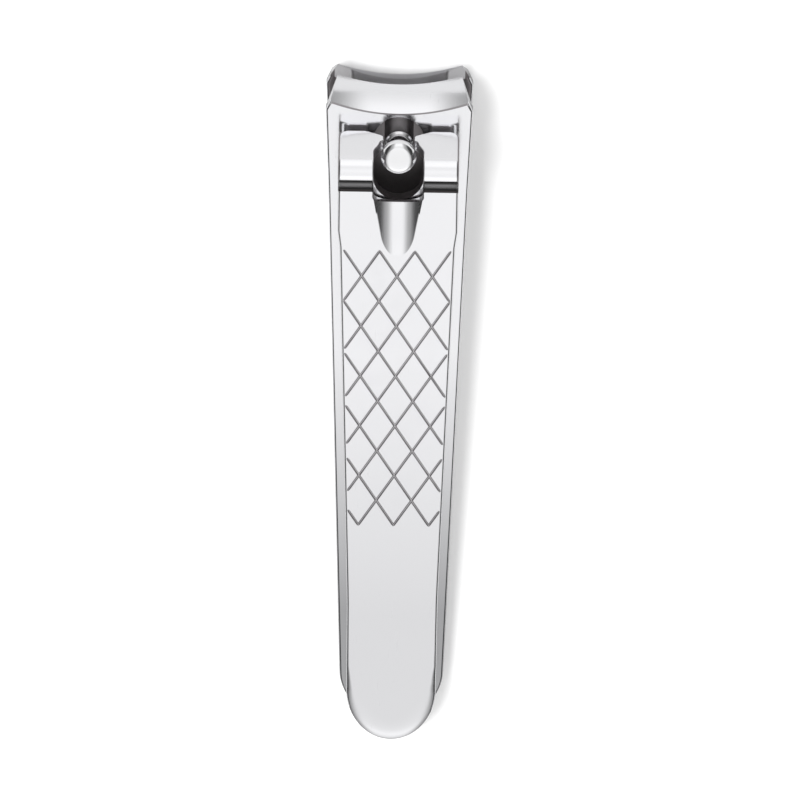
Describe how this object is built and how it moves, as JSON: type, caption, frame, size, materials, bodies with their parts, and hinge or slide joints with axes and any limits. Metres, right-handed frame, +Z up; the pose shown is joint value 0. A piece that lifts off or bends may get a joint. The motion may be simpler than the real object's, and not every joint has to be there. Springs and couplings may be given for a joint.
{
  "type": "nail clipper",
  "caption": "Lever-action fingernail clipper with curved jaws, two sprung arms and a fold-over lever hooked on a headed post.",
  "frame": {"origin": "under the middle of the bounding box, on the plane of the lower arm's flat outer face", "axes": "+X across the clipper, +Y from the jaws to the tail, +Z up out of the lower arm's outer face"},
  "size_m": [0.0126, 0.062, 0.0123],
  "materials": {
    "plated_arm": "polished plate",
    "plated_lever": "satin polished plate",
    "polished_post": "mirror polish",
    "rivet_steel": "machined"
  },
  "bodies": {
    "lower_body": {"lower_arm": "plated_arm", "tail_rivet": "rivet_steel"},
    "upper_body": {"upper_arm": "plated_arm"},
    "post_body": {"post": "polished_post"},
    "lever_body": {"lever": "plated_lever"}
  },
  "joints": [
    {"name": "jaw_close", "type": "hinge", "parent": "lower_body", "child": "upper_body", "pos_m": [0, 0.0267, 0.00135], "axis": [1, 0, 0], "range_deg": [0, 2.38], "stiffness_Nm_per_rad": 20},
    {"name": "lever_swing", "type": "hinge", "parent": "lower_body", "child": "post_body", "pos_m": [0, -0.02568, 0.00705], "axis": [0, 0.0827, 0.9966], "continuous": true},
    {"name": "lever_flip", "type": "hinge", "parent": "post_body", "child": "lever_body", "pos_m": [0, -0.02554, 0.00874], "axis": [1, 0, 0], "range_deg": [0, 116]}
  ]
}
